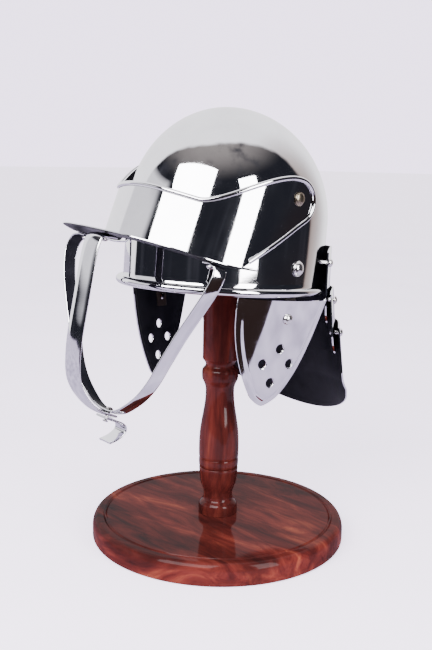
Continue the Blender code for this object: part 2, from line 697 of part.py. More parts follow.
def lame_axes(lame, angle, height):
    """Point on a lame's outer face and the outward direction there."""
    place = lame_point(lame, angle, height)
    width, back = lame[2], lame[3]
    return place, Vector((place.x / width ** 2, place.y / back ** 2, 0)).normalized()


def make_tail_rivets(bowl, lames):
    """A pair of rivets hangs the upper lame on the bowl, and each other lame on the one above."""
    for name, index, degrees, height in TAIL_RIVETS:
        for side, word in ((-1, "right"), (1, "left")):
            place, out = lame_axes(LAMES[index], side * math.radians(degrees), height)
            if index:
                above = LAMES[index - 1]
                depth = 0.0
                while lame_inside(place - out * depth, above):
                    depth += 0.0002
                behind = lames[index - 1]
            else:
                depth = 0.0
                while not bowl_inside(place - out * depth):
                    depth += 0.0002
                behind = bowl
            rivet(name + "_" + word, place + out * GAP * 2.5, out, TAIL_HEAD_RADIUS, 0.002, depth + 0.0030,
                  CHROME, BOWL_FRAME)
            start, end = BOWL_FRAME @ (place + out * 0.004), BOWL_FRAME @ (place - out * (depth + 0.010))
            for piece in (behind, lames[index]):
                pierce(piece, 0.0023, start, end)


def bowl_inside(point):
    """Whether a point on the nape side lies within the bowl's inner wall."""
    back = HALF_BACK - (HALF_BACK - HALF_NAPE) * (1 - point.z / WALL_HEIGHT) ** 2 - SHEET
    return (point.x / (HALF_WIDTH - SHEET)) ** 2 + (point.y / back) ** 2 < 1


def lame_inside(point, lame):
    """Whether a point is still outside the inner face of a lame."""
    angle = math.atan2(point.x / lame[2], point.y / lame[3])
    wall = lame_point(lame, angle, point.z, SHEET)
    return point.x ** 2 + point.y ** 2 > wall.x ** 2 + wall.y ** 2


make_stand()
make_head()
bowl = make_bowl()
make_band()
make_border()
peak = make_peak()
make_guard(peak)
for side, word in ((-1, "right"), (1, "left")):
    make_pivot(side, word, bowl)
    make_cheek_hanging(side, word, bowl, make_cheek(side, word))
lames = [make_lame(lame) for lame in LAMES]
make_tail_rivets(bowl, lames)
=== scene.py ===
"""The looks of the lobster-tailed pot helmet and its turned stand.

Metres, +Z up, helmet facing -Y, wearer's left +X, origin under the middle of the stand. The
bowl and the visor have the same tilted frames as the solids they stand for.
"""

import math

import bmesh
import bpy
from mathutils import Matrix, Vector


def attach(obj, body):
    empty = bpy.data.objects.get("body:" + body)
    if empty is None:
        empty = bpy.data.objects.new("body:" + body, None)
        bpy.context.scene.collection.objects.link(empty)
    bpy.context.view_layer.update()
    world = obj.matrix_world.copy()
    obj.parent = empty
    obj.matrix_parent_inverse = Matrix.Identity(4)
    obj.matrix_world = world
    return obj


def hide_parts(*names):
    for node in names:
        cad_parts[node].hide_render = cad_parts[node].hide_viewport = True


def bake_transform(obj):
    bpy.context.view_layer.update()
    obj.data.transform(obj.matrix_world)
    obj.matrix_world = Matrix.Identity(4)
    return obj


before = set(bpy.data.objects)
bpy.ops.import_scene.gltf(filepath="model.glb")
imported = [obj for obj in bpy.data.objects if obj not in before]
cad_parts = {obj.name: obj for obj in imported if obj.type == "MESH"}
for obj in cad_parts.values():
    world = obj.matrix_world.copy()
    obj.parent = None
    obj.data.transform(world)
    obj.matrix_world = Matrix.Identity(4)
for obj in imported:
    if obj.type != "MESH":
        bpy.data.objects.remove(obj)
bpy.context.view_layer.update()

GAP = 0.0004
BASE_RADIUS, BASE_HEIGHT, BASE_TOP_RADIUS, GROOVE_RADIUS = 0.140, 0.024, 0.1335, 0.126
HEAD_RADIUS, POST_TOP = 0.044, 0.4395
RIM_CENTRE = Vector((0.0, 0.0, 0.2836))
RIM_TILT = math.radians(4.3)
HALF_WIDTH, HALF_FRONT, HALF_BACK, HALF_NAPE = 0.0965, 0.1125, 0.1230, 0.1130
WALL_HEIGHT, DOME_RISE, SHEET, ROLL_RADIUS = 0.0690, 0.1160, 0.0015, 0.0045
PIVOT = Vector((0.0, 0.0045, 0.3840))
VISOR_TILT, VISOR_SKEW = math.radians(20.5), math.radians(3.8)
BAND_HALF_WIDTH, BAND_FRONT, BAND_BOTTOM = 0.1010, 0.1120, -0.0890
EAR_RADIUS, EAR_DROP = 0.0240, -0.0030
BEAD_RADIUS, HORN_ANGLE = 0.0024, math.radians(69)
PEAK_THICKNESS, PEAK_FRONT, PEAK_SIDE, PEAK_POWER = 0.0015, 0.1520, 0.1210, 2.5
PEAK_LIFT, PEAK_DROOP = 0.009, 0.0035
PEAK_TOP = BAND_BOTTOM - GAP
BAR_WIDTH, BAR_THICKNESS = 0.0135, 0.0022
CHEEK_LEAN, CHEEK_HEIGHT, CHEEK_TOP_HALF, CHEEK_TIP = 0.13, 0.112, 0.0545, 0.0090
CHEEK_RIVET_X, CHEEK_RIVET_Z = -0.003, -0.019
STRAP_WIDTH, STRAP_THICKNESS = 0.014, 0.002
CHEEK_BOW, CHEEK_HOLE_RADIUS = 0.006, 0.0050
CHEEK_HOLES = ((0.000, -0.050), (0.018, -0.066), (-0.015, -0.066), (0.005, -0.086))
EMBOSS_MARGIN, EMBOSS_STEP, EMBOSS_RISE = 0.0045, 0.0034, 0.0019
NEAR_BAR_TWIST, FAR_BAR_TWIST, TWIST_START = 0.33, 0.45, 0.06
BOWL_HEAD_RADIUS, CHEEK_HEAD_RADIUS, TAIL_HEAD_RADIUS = 0.0080, 0.0056, 0.0048
GUARD_HEAD_RADIUS, PIVOT_HEAD_RADIUS = 0.0040, 0.0070
SHANK_RADIUS, THIN_SHANK_RADIUS = 0.002, 0.0018
LAMES = (
    # name, half span in degrees, half width, reach back, top, bottom (from the rim), flare, droop
    ("lame_upper", 59, 0.1050, 0.1275, 0.047, -0.036, 0.003, 0.004),
    ("lame_middle", 59, 0.1110, 0.1335, 0.003, -0.068, 0.0085, 0.006),
    ("lame_lower", 52, 0.1205, 0.1430, -0.034, -0.108, 0.0115, 0.042),
)
TAIL_RIVETS = (
    # name, lame under the head, angle from the back in degrees, height above the rim, body
    ("tail_rivet", 0, 55, 0.030, "helmet"),
    ("lame_rivet_upper", 1, 50, -0.010, "tail_upper"),
    ("lame_rivet_lower", 2, 43, -0.047, "tail_middle"),
)
BOWL_FRAME = Matrix.Translation(RIM_CENTRE) @ Matrix.Rotation(-RIM_TILT, 4, "X")
GUARD_FRAME = Matrix.Translation(PIVOT) @ Matrix.Rotation(VISOR_SKEW, 4, "Y")
VISOR_FRAME = GUARD_FRAME @ Matrix.Rotation(-VISOR_TILT, 4, "X")


# ---------------------------------------------------------------- materials

class Nodes:
    """Short calls for one node tree."""

    def __init__(self, tree):
        self.tree = tree

    def add(self, kind, inputs=None, **settings):
        node = self.tree.nodes.new(kind)
        for key, value in settings.items():
            setattr(node, key, value)
        for key, value in (inputs or {}).items():
            if isinstance(value, bpy.types.NodeSocket):
                self.tree.links.new(value, node.inputs[key])
            else:
                node.inputs[key].default_value = value
        return node

    def link(self, source, target):
        self.tree.links.new(source, target)

    def noise(self, where, scale, detail=3.0, roughness=0.5, distortion=0.0):
        inputs = {"Vector": where, "Scale": scale, "Detail": detail,
                  "Roughness": roughness, "Distortion": distortion}
        return self.add("ShaderNodeTexNoise", inputs).outputs["Fac"]

    def stretch(self, where, scale, turn=(0, 0, 0)):
        inputs = {"Vector": where, "Scale": scale, "Rotation": turn}
        return self.add("ShaderNodeMapping", inputs).outputs["Vector"]

    def ramp(self, value, stops):
        node = self.add("ShaderNodeValToRGB", {"Fac": value})
        band = node.color_ramp
        while len(band.elements) < len(stops):
            band.elements.new(0.5)
        for element, (place, colour) in zip(band.elements, stops):
            element.position = place
            element.color = (*colour, 1.0)
        return node.outputs["Color"]

    def span(self, value, low, high, to_low=0.0, to_high=1.0, smooth=False):
        kind = "SMOOTHSTEP" if smooth else "LINEAR"
        node = self.add("ShaderNodeMapRange", {"Value": value, "From Min": low, "From Max": high,
                                               "To Min": to_low, "To Max": to_high}, interpolation_type=kind)
        return node.outputs["Result"]

    def math(self, kind, a, b=0.0):
        return self.add("ShaderNodeMath", {0: a, 1: b}, operation=kind).outputs["Value"]

    def mix(self, share, a, b):
        node = self.add("ShaderNodeMix", data_type="RGBA")
        for socket, value in ((node.inputs[0], share), (node.inputs[6], a), (node.inputs[7], b)):
            if isinstance(value, bpy.types.NodeSocket):
                self.link(value, socket)
            elif isinstance(value, (int, float)):
                socket.default_value = value
            else:
                socket.default_value = (*value, 1.0)
        return node.outputs[2]

    def bump(self, height, strength, distance, normal=None):
        inputs = {"Height": height, "Strength": strength, "Distance": distance}
        if normal is not None:
            inputs["Normal"] = normal
        return self.add("ShaderNodeBump", inputs).outputs["Normal"]


def new_material(name):
    made = bpy.data.materials.new(name)
    made.use_nodes = True
    nodes = Nodes(made.node_tree)
    shader = made.node_tree.nodes["Principled BSDF"]
    where = nodes.add("ShaderNodeTexCoord").outputs["Object"]
    return made, nodes, shader, where


def metal(name, light, dark, rough_low, rough_high, wave):
    """Polished plate: faint smudges, fine wiping marks, and the slight waviness of beaten sheet."""
    made, nodes, shader, where = new_material(name)
    smudge = nodes.noise(where, 28.0, 5.0, 0.6, 0.6)
    wiped = nodes.noise(nodes.stretch(where, (60, 60, 900), (0.5, 0.3, 0.2)), 1.0, 2.0)
    nodes.link(nodes.ramp(smudge, ((0.35, dark), (0.62, light))), shader.inputs["Base Color"])
    grime = nodes.math("ADD", nodes.span(smudge, 0.45, 0.75, rough_low, rough_high),
                       nodes.span(wiped, 0.55, 0.8, 0.0, 0.035))
    nodes.link(grime, shader.inputs["Roughness"])
    slow = nodes.bump(nodes.noise(where, 16.0, 1.0), 0.5, wave)
    nodes.link(nodes.bump(wiped, 0.06, 0.00005, slow), shader.inputs["Normal"])
    shader.inputs["Metallic"].default_value = 1.0
    return made


def black_paint():
    made, nodes, shader, where = new_material("black_paint")
    patch = nodes.noise(where, 45.0, 4.0, 0.6)
    nodes.link(nodes.ramp(patch, ((0.3, (0.004, 0.004, 0.006)), (0.75, (0.011, 0.011, 0.015)))),
               shader.inputs["Base Color"])
    nodes.link(nodes.span(patch, 0.3, 0.75, 0.34, 0.52), shader.inputs["Roughness"])
    peel = nodes.noise(where, 420.0, 2.0)
    nodes.link(nodes.bump(peel, 0.25, 0.00025), shader.inputs["Normal"])
    shader.inputs["Specular IOR Level"].default_value = 0.06
    return made


def rosewood(name, stretch, turn, gloss, tone):
    """Lacquered rosewood: dark streaks on red brown, with fine pores. A higher tone is paler."""
    made, nodes, shader, where = new_material(name)
    along = nodes.stretch(where, stretch, turn)
    drift = nodes.noise(along, 1.0, 4.0, 0.55, 0.8)
    streaks = nodes.noise(nodes.stretch(along, (3.2, 3.2, 3.2)), 1.0, 6.0, 0.62, 1.1)

    def stain(*stops):
        return nodes.ramp(streaks, [(place, [part * tone for part in colour]) for place, colour in stops])

    warm = stain((0.30, (0.018, 0.004, 0.004)), (0.46, (0.040, 0.007, 0.006)),
                 (0.58, (0.066, 0.012, 0.009)), (0.74, (0.125, 0.030, 0.016)))
    dark = stain((0.36, (0.008, 0.003, 0.003)), (0.62, (0.032, 0.006, 0.005)),
                 (0.80, (0.058, 0.012, 0.009)))
    nodes.link(nodes.mix(nodes.span(drift, 0.42, 0.60, smooth=True), warm, dark), shader.inputs["Base Color"])
    pores = nodes.noise(nodes.stretch(along, (26, 26, 5)), 1.0, 3.0)
    nodes.link(nodes.span(pores, 0.35, 0.7, 0.22, 0.38), shader.inputs["Roughness"])
    nodes.link(nodes.bump(nodes.span(pores, 0.35, 0.55), 0.12, 0.0002), shader.inputs["Normal"])
    shader.inputs["Coat Weight"].default_value = gloss
    shader.inputs["Specular IOR Level"].default_value = 0.0
    shader.inputs["Coat Roughness"].default_value = 0.07
    return made


def leather():
    made, nodes, shader, where = new_material("leather")
    cells = nodes.add("ShaderNodeTexVoronoi", {"Vector": where, "Scale": 900.0}).outputs["Distance"]
    patch = nodes.noise(where, 60.0, 4.0)
    nodes.link(nodes.ramp(patch, ((0.3, (0.008, 0.006, 0.005)), (0.7, (0.024, 0.015, 0.011)))),
               shader.inputs["Base Color"])
    nodes.link(nodes.span(patch, 0.3, 0.7, 0.45, 0.65), shader.inputs["Roughness"])
    nodes.link(nodes.bump(cells, 0.4, 0.0003), shader.inputs["Normal"])
    return made


CHROME = metal("chrome", (0.86, 0.865, 0.885), (0.80, 0.80, 0.83), 0.035, 0.085, 0.0006)
EDGE_CHROME = metal("chrome_guard", (0.84, 0.845, 0.87), (0.74, 0.74, 0.78), 0.05, 0.13, 0.0009)
RIVET_CHROME = metal("chrome_rivet", (0.80, 0.79, 0.79), (0.60, 0.58, 0.57), 0.12, 0.25, 0.0006)
BRASS = metal("brass", (0.34, 0.29, 0.22), (0.17, 0.14, 0.10), 0.26, 0.42, 0.0010)
BLACK = black_paint()
POST_WOOD = rosewood("rosewood_post", (13, 13, 2.2), (0.0, 0.0, 0.0), 0.30, 1.0)
BASE_WOOD = rosewood("rosewood_base", (3.2, 13, 13), (0.0, 0.0, math.radians(38)), 0.14, 1.35)
LEATHER = leather()


# ---------------------------------------------------------------- mesh builders

def mesh_object(name, points, faces, looks, place=None, inside=None, angle=35):
    """One closed mesh. Faces numbered in inside take the second of the looks."""
    mesh = bpy.data.meshes.new(name)
    built = bmesh.new()
    corners = [built.verts.new(point) for point in points]
    for number, face in enumerate(faces):
        made = built.faces.new([corners[i] for i in face])
        if inside is not None and number in inside:
            made.material_index = 1
    bmesh.ops.remove_doubles(built, verts=built.verts, dist=1e-5)
    bmesh.ops.dissolve_degenerate(built, edges=built.edges, dist=1e-6)
    if place is not None:
        bmesh.ops.transform(built, matrix=place, verts=built.verts)
    bmesh.ops.recalc_face_normals(built, faces=built.faces)
    built.to_mesh(mesh)
    built.free()
    mesh.shade_smooth()
    mesh.set_sharp_from_angle(angle=math.radians(angle))
    for look in looks:
        mesh.materials.append(look)
    made = bpy.data.objects.new(name, mesh)
    bpy.context.collection.objects.link(made)
    return made


def grid_faces(rows, columns, first=0, wrap_rows=False, wrap_columns=False, flip=False):
    faces = []
    for r in range(rows if wrap_rows else rows - 1):
        for c in range(columns if wrap_columns else columns - 1):
            below, beside = (r + 1) % rows, (c + 1) % columns
            face = [first + r * columns + c, first + r * columns + beside,
                    first + below * columns + beside, first + below * columns + c]
            faces.append(face[::-1] if flip else face)
    return faces


def tube(name, sections, looks, place=None, angle=35, inside=None):
    """A solid through closed sections, with its ends filled."""
    count = len(sections[0])
    points = [point for section in sections for point in section]
    faces = grid_faces(len(sections), count, wrap_columns=True)
    last = (len(sections) - 1) * count
    faces.append(list(range(count))[::-1])
    faces.append([last + i for i in range(count)])
    return mesh_object(name, points, faces, looks, place, inside, angle)


def shell(name, outer, inner, looks, place=None):
    """A sheet between two grids of points; its inner face takes the second of the looks."""
    rows, columns = len(outer), len(outer[0])
    total = rows * columns
    points = [p for row in outer for p in row] + [p for row in inner for p in row]
    faces = grid_faces(rows, columns)
    first_inner = len(faces)
    faces += grid_faces(rows, columns, total, flip=True)
    inside = set(range(first_inner, len(faces))) if len(looks) > 1 else None
    for r in (0, rows - 1):
        for c in range(columns - 1):
            a, b = r * columns + c, r * columns + c + 1
            faces.append([a, b, total + b, total + a])
    for c in (0, columns - 1):
        for r in range(rows - 1):
            a, b = r * columns + c, (r + 1) * columns + c
            faces.append([a, b, total + b, total + a])
    return mesh_object(name, points, faces, looks, place, inside)


def turned(name, profile, looks, place=None, steps=96, angle=35):
    """A solid turned about Z from (radius, height) points that run from axis to axis."""
    count = len(profile)
    points = []
    for i in range(steps):
        turn = 2 * math.pi * i / steps
        points += [Vector((r * math.cos(turn), r * math.sin(turn), z)) for r, z in profile]
    faces = []
    for i in range(steps):
        j = (i + 1) % steps
        for k in range(count - 1):
            faces.append([i * count + k, j * count + k, j * count + k + 1, i * count + k + 1])
    return mesh_object(name, points, faces, looks, place, angle=angle)


def finish_piece(piece, body, slot, *nodes):
    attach(piece, body)
    if nodes:
        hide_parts(*nodes)
    return piece


def pierce(piece, radius, start, end, sides=32):
    """Cuts a round hole through a piece, from start to end."""
    along = end - start
    cutter = turned("hole", [(0, -0.5), (radius, -0.5), (radius, 0.5), (0, 0.5)], [CHROME], steps=sides)
    turn = along.to_track_quat("Z", "Y").to_matrix().to_4x4()
    size = Matrix.Diagonal((1.0, 1.0, along.length, 1.0))
    cutter.data.transform(Matrix.Translation((start + end) / 2) @ turn @ size)
    cut = piece.modifiers.new("hole", "BOOLEAN")
    cut.operation = "DIFFERENCE"
    cut.object = cutter
    with bpy.context.temp_override(object=piece, active_object=piece):
        bpy.ops.object.modifier_apply(modifier=cut.name)
    bpy.data.objects.remove(cutter, do_unlink=True)


def rivet(name, place, outward, head, shank, length, looks, tail=True, flat=0.62):
    """A domed head with a small flat rim, a shank, and a peened tail inside."""
    rise = head * flat
    profile = [(0.0, rise)]
    for i in range(1, 10):
        angle = math.radians(90 - 9 * i)
        profile.append((head * 0.96 * math.cos(angle), rise * math.sin(angle)))
    profile += [(head, head * 0.06), (head, 0.0), (shank, 0.0), (shank, -length)]
    if tail:
        profile += [(shank * 1.6, -length), (shank * 1.7, -length - 0.0006), (shank * 1.2, -length - 0.0014)]
    profile.append((0.0, profile[-1][1]))
    turn = outward.to_track_quat("Z", "Y").to_matrix().to_4x4()
    return turned(name, profile, looks, Matrix.Translation(place) @ turn, steps=40)


def smooth_path(points, samples):
    """A Catmull-Rom curve through the points, sampled evenly between them."""
    ends = [points[0] * 2 - points[1]] + list(points) + [points[-1] * 2 - points[-2]]
    made = []
    for i in range(len(points) - 1):
        a, b, c, d = ends[i:i + 4]
        for k in range(samples):
            t = k / samples
            made.append(0.5 * ((b * 2) + (c - a) * t + (a * 2 - b * 5 + c * 4 - d) * t * t
                               + (b * 3 - a - c * 3 + d) * t ** 3))
    made.append(points[-1].copy())
    return made


def strip_section(width, thickness, crown):
    """Half-rounded edges and a bowed face, as (across, out) pairs round the section."""
    half, edge = width / 2, thickness / 2
    top = []
    for k in range(-8, 9):
        a = k / 8
        top.append((a * (half - edge), edge + crown * (1 - a * a)))
    right = [(half - edge + edge * math.cos(t), edge * math.sin(t))
             for t in (math.radians(60), math.radians(30), 0, math.radians(-30), math.radians(-60))]
    bottom = [(x, y - thickness) for x, y in reversed(top)]
    left = [(-x, -y) for x, y in right]
    return top + right + bottom + left


SECTION_BACK = range(22, 38)  # the sides of a section that face away from out


def strip(name, path, sideways, widths, thickness, looks, crown=0.0, place=None):
    """A flat bar along a path; sideways points across it, and crown bows its outer face.

    Its back takes the second of the looks.
    """
    sections = []
    for i, point in enumerate(path):
        ahead = (path[min(i + 1, len(path) - 1)] - path[max(i - 1, 0)]).normalized()
        side = (sideways[i] - ahead * sideways[i].dot(ahead)).normalized()
        out = ahead.cross(side)
        sections.append([point + side * a + out * b for a, b in strip_section(widths[i], thickness, crown)])
    count = len(sections[0])
    faces = range((len(sections) - 1) * count)
    back = {face for face in faces if face % count in SECTION_BACK} if len(looks) > 1 else None
    return tube(name, sections, looks, place, inside=back)


# ---------------------------------------------------------------- stand

def make_stand():
    edge, foot = 0.0055, 0.003
    profile = [(0, 0), (BASE_RADIUS - foot, 0)]
    for i in range(9):
        turn = math.radians(-90 + 11.25 * i)
        profile.append((BASE_RADIUS - foot + foot * math.cos(turn), foot + foot * math.sin(turn)))
    for i in range(17):
        turn = math.radians(90 * i / 16)
        x = BASE_TOP_RADIUS + (BASE_RADIUS - BASE_TOP_RADIUS) * math.cos(turn)
        profile.append((x, BASE_HEIGHT - 2 * edge + 2 * edge * math.sin(turn)))
    profile += [(GROOVE_RADIUS + 0.0020, BASE_HEIGHT), (GROOVE_RADIUS + 0.0012, BASE_HEIGHT - 0.0011)]
    profile += [(GROOVE_RADIUS, BASE_HEIGHT - 0.0016), (GROOVE_RADIUS - 0.0012, BASE_HEIGHT - 0.0011)]
    profile += [(GROOVE_RADIUS - 0.0020, BASE_HEIGHT), (0, BASE_HEIGHT)]
    base = turned("stand_base_lacquered", profile, [BASE_WOOD], steps=192)
    finish_piece(base, "stand", "rosewood", "stand_base")

    turnings = [
        (0.0215, 0.0), (0.0215, 0.009), (0.0200, 0.0124), (0.0165, 0.0165), (0.0162, 0.0242),
        (0.0180, 0.030), (0.0200, 0.0362), (0.0213, 0.0474), (0.0215, 0.0525), (0.0200, 0.0537),
        (0.0217, 0.0550), (0.0219, 0.0630), (0.0203, 0.0642), (0.0220, 0.0655), (0.0221, 0.0824),
        (0.0213, 0.0950), (0.0197, 0.1062), (0.0178, 0.1174), (0.0162, 0.1286), (0.0157, 0.1398),
        (0.0163, 0.1454), (0.0180, 0.1500), (0.0196, 0.1535), (0.0201, 0.1585), (0.0196, 0.1640),
        (0.0162, 0.1685), (0.0170, 0.1725), (0.0195, 0.1758),
    ]
    start = BASE_HEIGHT + GAP
    curve = smooth_path([Vector((r, start + z, 0)) for r, z in turnings], 4)
    profile = [(0, start)] + [(p.x, p.y) for p in curve] + [(0.0195, POST_TOP), (0, POST_TOP)]
    post = turned("stand_post_turned", profile, [POST_WOOD], steps=96)
    finish_piece(post, "stand", "rosewood", "stand_post")

    low = POST_TOP + GAP
    profile = [(0, low), (HEAD_RADIUS - 0.003, low)]
    crown = BOWL_FRAME @ Vector((0, 0, WALL_HEIGHT + DOME_RISE - SHEET))
    for i in range(25):
        radius = HEAD_RADIUS * (1 - i / 24)
        spread = (HALF_WIDTH - SHEET) / (DOME_RISE - SHEET)
        drop = (DOME_RISE - SHEET) - math.sqrt((DOME_RISE - SHEET) ** 2 - (radius / spread) ** 2)
        profile.append((radius, crown.z - 0.0040 - drop * 1.04))
    head = turned("stand_head_turned", profile, [POST_WOOD], steps=96)
    finish_piece(head, "stand", "rosewood", "stand_head")


# ---------------------------------------------------------------- bowl

def bowl_point(angle, height, inset=0.0):
    """A point on the bowl: angle 0 is the front, and height is above the rim plane."""
    width, front, back = HALF_WIDTH - inset, HALF_FRONT - inset, HALF_BACK - inset
    if height > WALL_HEIGHT:
        rise = min((height - WALL_HEIGHT) / (DOME_RISE - inset), 1.0)
        shrink = math.sqrt(max(1 - rise * rise, 0.0))
    else:
        shrink = 1.0
        low = 1 - height / WALL_HEIGHT
        back -= (HALF_BACK - HALF_NAPE) * low * low
    reach = front if math.cos(angle) > 0 else back
    return Vector((width * shrink * math.sin(angle), -reach * shrink * math.cos(angle), height))


def bowl_heights(inset, rows):
    """Heights from the rim to the crown, closer together towards the crown."""
    top = WALL_HEIGHT + DOME_RISE - inset
    low = [WALL_HEIGHT * k / 16 for k in range(1, 16)]
    high = [WALL_HEIGHT + (top - WALL_HEIGHT) * math.sin(math.pi / 2 * k / rows) for k in range(rows + 1)]
    return low + high


def make_bowl():
    """Outer wall from the crown down, round the outward roll, and up the inner wall."""
    columns, rows = 160, 44
    points = []
    for c in range(columns):
        angle = 2 * math.pi * c / columns
        edge = bowl_point(angle, 0.0)
        away = Vector((edge.x, edge.y, 0)).normalized()
        ring = [bowl_point(angle, h) for h in reversed(bowl_heights(0.0, rows))]
        centre = edge + away * (ROLL_RADIUS - SHEET)
        for k in range(27):
            turn = math.radians(125 - 11.2 * k)
            rise = Vector((0, 0, ROLL_RADIUS * math.sin(turn)))
            ring.append(centre + away * (ROLL_RADIUS * math.cos(turn)) + rise)
        ring += [bowl_point(angle, h, SHEET) for h in bowl_heights(SHEET, rows)]
        points.append(ring)
    count = len(points[0])
    faces = grid_faces(columns, count, wrap_rows=True)
    outside = len(bowl_heights(0.0, rows)) + 22
    inside = {i for i in range(len(faces)) if i % (count - 1) > outside}
    bowl = mesh_object("bowl_polished", [p for ring in points for p in ring], faces, [CHROME, BLACK],
                       BOWL_FRAME, inside, angle=60)
    return finish_piece(bowl, "helmet", "chrome", "bowl")


# ---------------------------------------------------------------- visor

def band_point(angle, height, inset=0.0):
    """A point on the visor's band: angle 0 is the front, 90 degrees the left pivot."""
    across = math.sin(angle) if abs(angle) < math.pi / 2 else math.copysign(1.0, angle)
    return Vector(((BAND_HALF_WIDTH - inset) * across, -(BAND_FRONT - inset) * math.cos(angle), height))


def band_top(angle):
    """Height of the band's upper edge: lowest over the brow, rising to the ears."""
    share = min(abs(angle) / (math.pi / 2), 1.0)
    dip = -0.0335 - 0.0012 * math.sin(math.pi * min(share / 0.72, 1.0)) ** 2
    lift = max(share - 0.40, 0.0) / 0.60
    return dip + (EAR_DROP + EAR_RADIUS - dip) * (lift * lift * (3 - 2 * lift)) ** 0.85


def peak_lift(angle):
    """How far the peak's root rises towards its horns, at an angle round the band."""
    return PEAK_LIFT * (max(abs(angle) - math.radians(48), 0.0) / math.radians(29)) ** 2


def band_bottom(angle):
    """Height of the band's lower edge: along the peak, then straight until it meets the ear's round."""
    if abs(angle) <= HORN_ANGLE:
        return BAND_BOTTOM + peak_lift(angle)
    across = (math.pi / 2 - HORN_ANGLE) * BAND_FRONT
    start = BAND_BOTTOM + peak_lift(HORN_ANGLE)
    span = math.hypot(across, EAR_DROP - start)
    slope = math.atan2(EAR_DROP - start, across) - math.asin(EAR_RADIUS / span)
    along = (abs(angle) - math.pi / 2) * BAND_FRONT
    line = start + (along + across) * math.tan(slope)
    if along < EAR_RADIUS * math.sin(slope):
        return line
    return EAR_DROP - math.sqrt(max(EAR_RADIUS ** 2 - along ** 2, 0.0))


def band_columns():
    """(angle, top, bottom) from the right ear round the brow to the left ear."""
    ear = EAR_RADIUS / BAND_FRONT
    turns = [math.radians(90 * k / 24) for k in range(1, 25)]
    left = [(math.pi / 2 + ear * math.sin(t), EAR_DROP + EAR_RADIUS * math.cos(t),
             band_bottom(math.pi / 2 + ear * math.sin(t))) for t in turns]
    count = 90
    middle = []
    for k in range(-count, count + 1):
        angle = math.pi / 2 * k / count
        middle.append((angle, band_top(angle), band_bottom(angle)))
    return [(-a, t, b) for a, t, b in reversed(left)] + middle + left


def make_band():
    rows = 14
    outer, inner = [], []
    for inset, grid in ((0.0, outer), (SHEET, inner)):
        for r in range(rows):
            share = r / (rows - 1)
            grid.append([band_point(a, t + (b - t) * share, inset) for a, t, b in band_columns()])
    band = shell("visor_band_polished", outer, inner, [CHROME, BLACK], VISOR_FRAME)
    finish_piece(band, "visor", "chrome", "visor_band")


def make_border():
    """A half-round edging on the band's outer face, round its top edge and both ears."""
    columns = band_columns()
    route = []
    for a, t, b in columns:
        near = min(1.0, (t - b) / (2 * EAR_RADIUS))
        route.append(band_point(a, t - BEAD_RADIUS * near, -GAP))
    ear = len(route)
    for a, t, b in reversed([column for column in columns[:-1] if column[0] > HORN_ANGLE + 0.02]):
        near = min(1.0, (t - b) / (2 * EAR_RADIUS))
        route.append(band_point(a, b + BEAD_RADIUS * near, -GAP))
    right = [Vector((-p.x, p.y, p.z)) for p in route[ear:]]
    route = right[::-1] + route
    sections = []
    for i, point in enumerate(route):
        ahead = (route[min(i + 1, len(route) - 1)] - route[max(i - 1, 0)]).normalized()
        out = Vector((point.x / BAND_HALF_WIDTH ** 2, point.y / BAND_FRONT ** 2, 0)).normalized()
        side = ahead.cross(out).normalized()
        ring = []
        for k in range(17):
            turn = math.pi * k / 16
            across, rise = BEAD_RADIUS * math.cos(turn), 0.9 * BEAD_RADIUS * math.sin(turn)
            ring.append(point + side * across + out * rise)
        sections.append(ring)
    border = tube("visor_border_bead", sections, [CHROME], VISOR_FRAME, angle=60)
    finish_piece(border, "visor", "chrome", "visor_border")


def peak_edge(angle):
    """A point on the peak's outer edge, a squared-off ellipse: angle 0 is the front."""
    x, y = math.sin(angle), math.cos(angle)
    size = (abs(x / PEAK_SIDE) ** PEAK_POWER + abs(y / PEAK_FRONT) ** PEAK_POWER) ** (-1 / PEAK_POWER)
    return Vector((x * size, -y * size, PEAK_TOP))


def make_peak():
    count, rows, reach = 110, 24, math.radians(76)
    top, bottom = [], []
    for r in range(rows):
        share = r / (rows - 1)
        row = []
        for k in range(-count, count + 1):
            part = k / count
            edge = peak_edge(reach * part)
            flat = math.atan2(edge.x / BAND_HALF_WIDTH, -edge.y / BAND_FRONT)
            root = band_point(flat, PEAK_TOP, 0.0035)
            fade = max(abs(part) - 0.86, 0.0) / 0.14
            edge = edge.lerp(root, fade ** 2.2 * 0.93)
            point = root.lerp(edge, share)
            point.z += peak_lift(flat) - PEAK_DROOP * (share * math.cos(reach * part)) ** 2
            row.append(point)
        top.append(row)
        lip = 0.45 * PEAK_THICKNESS * max(share - 0.96, 0.0) / 0.04
        bottom.append([p - Vector((0, 0, PEAK_THICKNESS - lip)) for p in row])
    peak = shell("visor_peak_polished", top, bottom, [EDGE_CHROME, BLACK], VISOR_FRAME)
    finish_piece(peak, "visor", "chrome", "visor_peak")


def guard_point(side, forward, height):
    """A point given as distances from the pivot line: to the wearer's left, forward and up."""
    return Vector((side, -forward - PIVOT.y, height - 0.378))


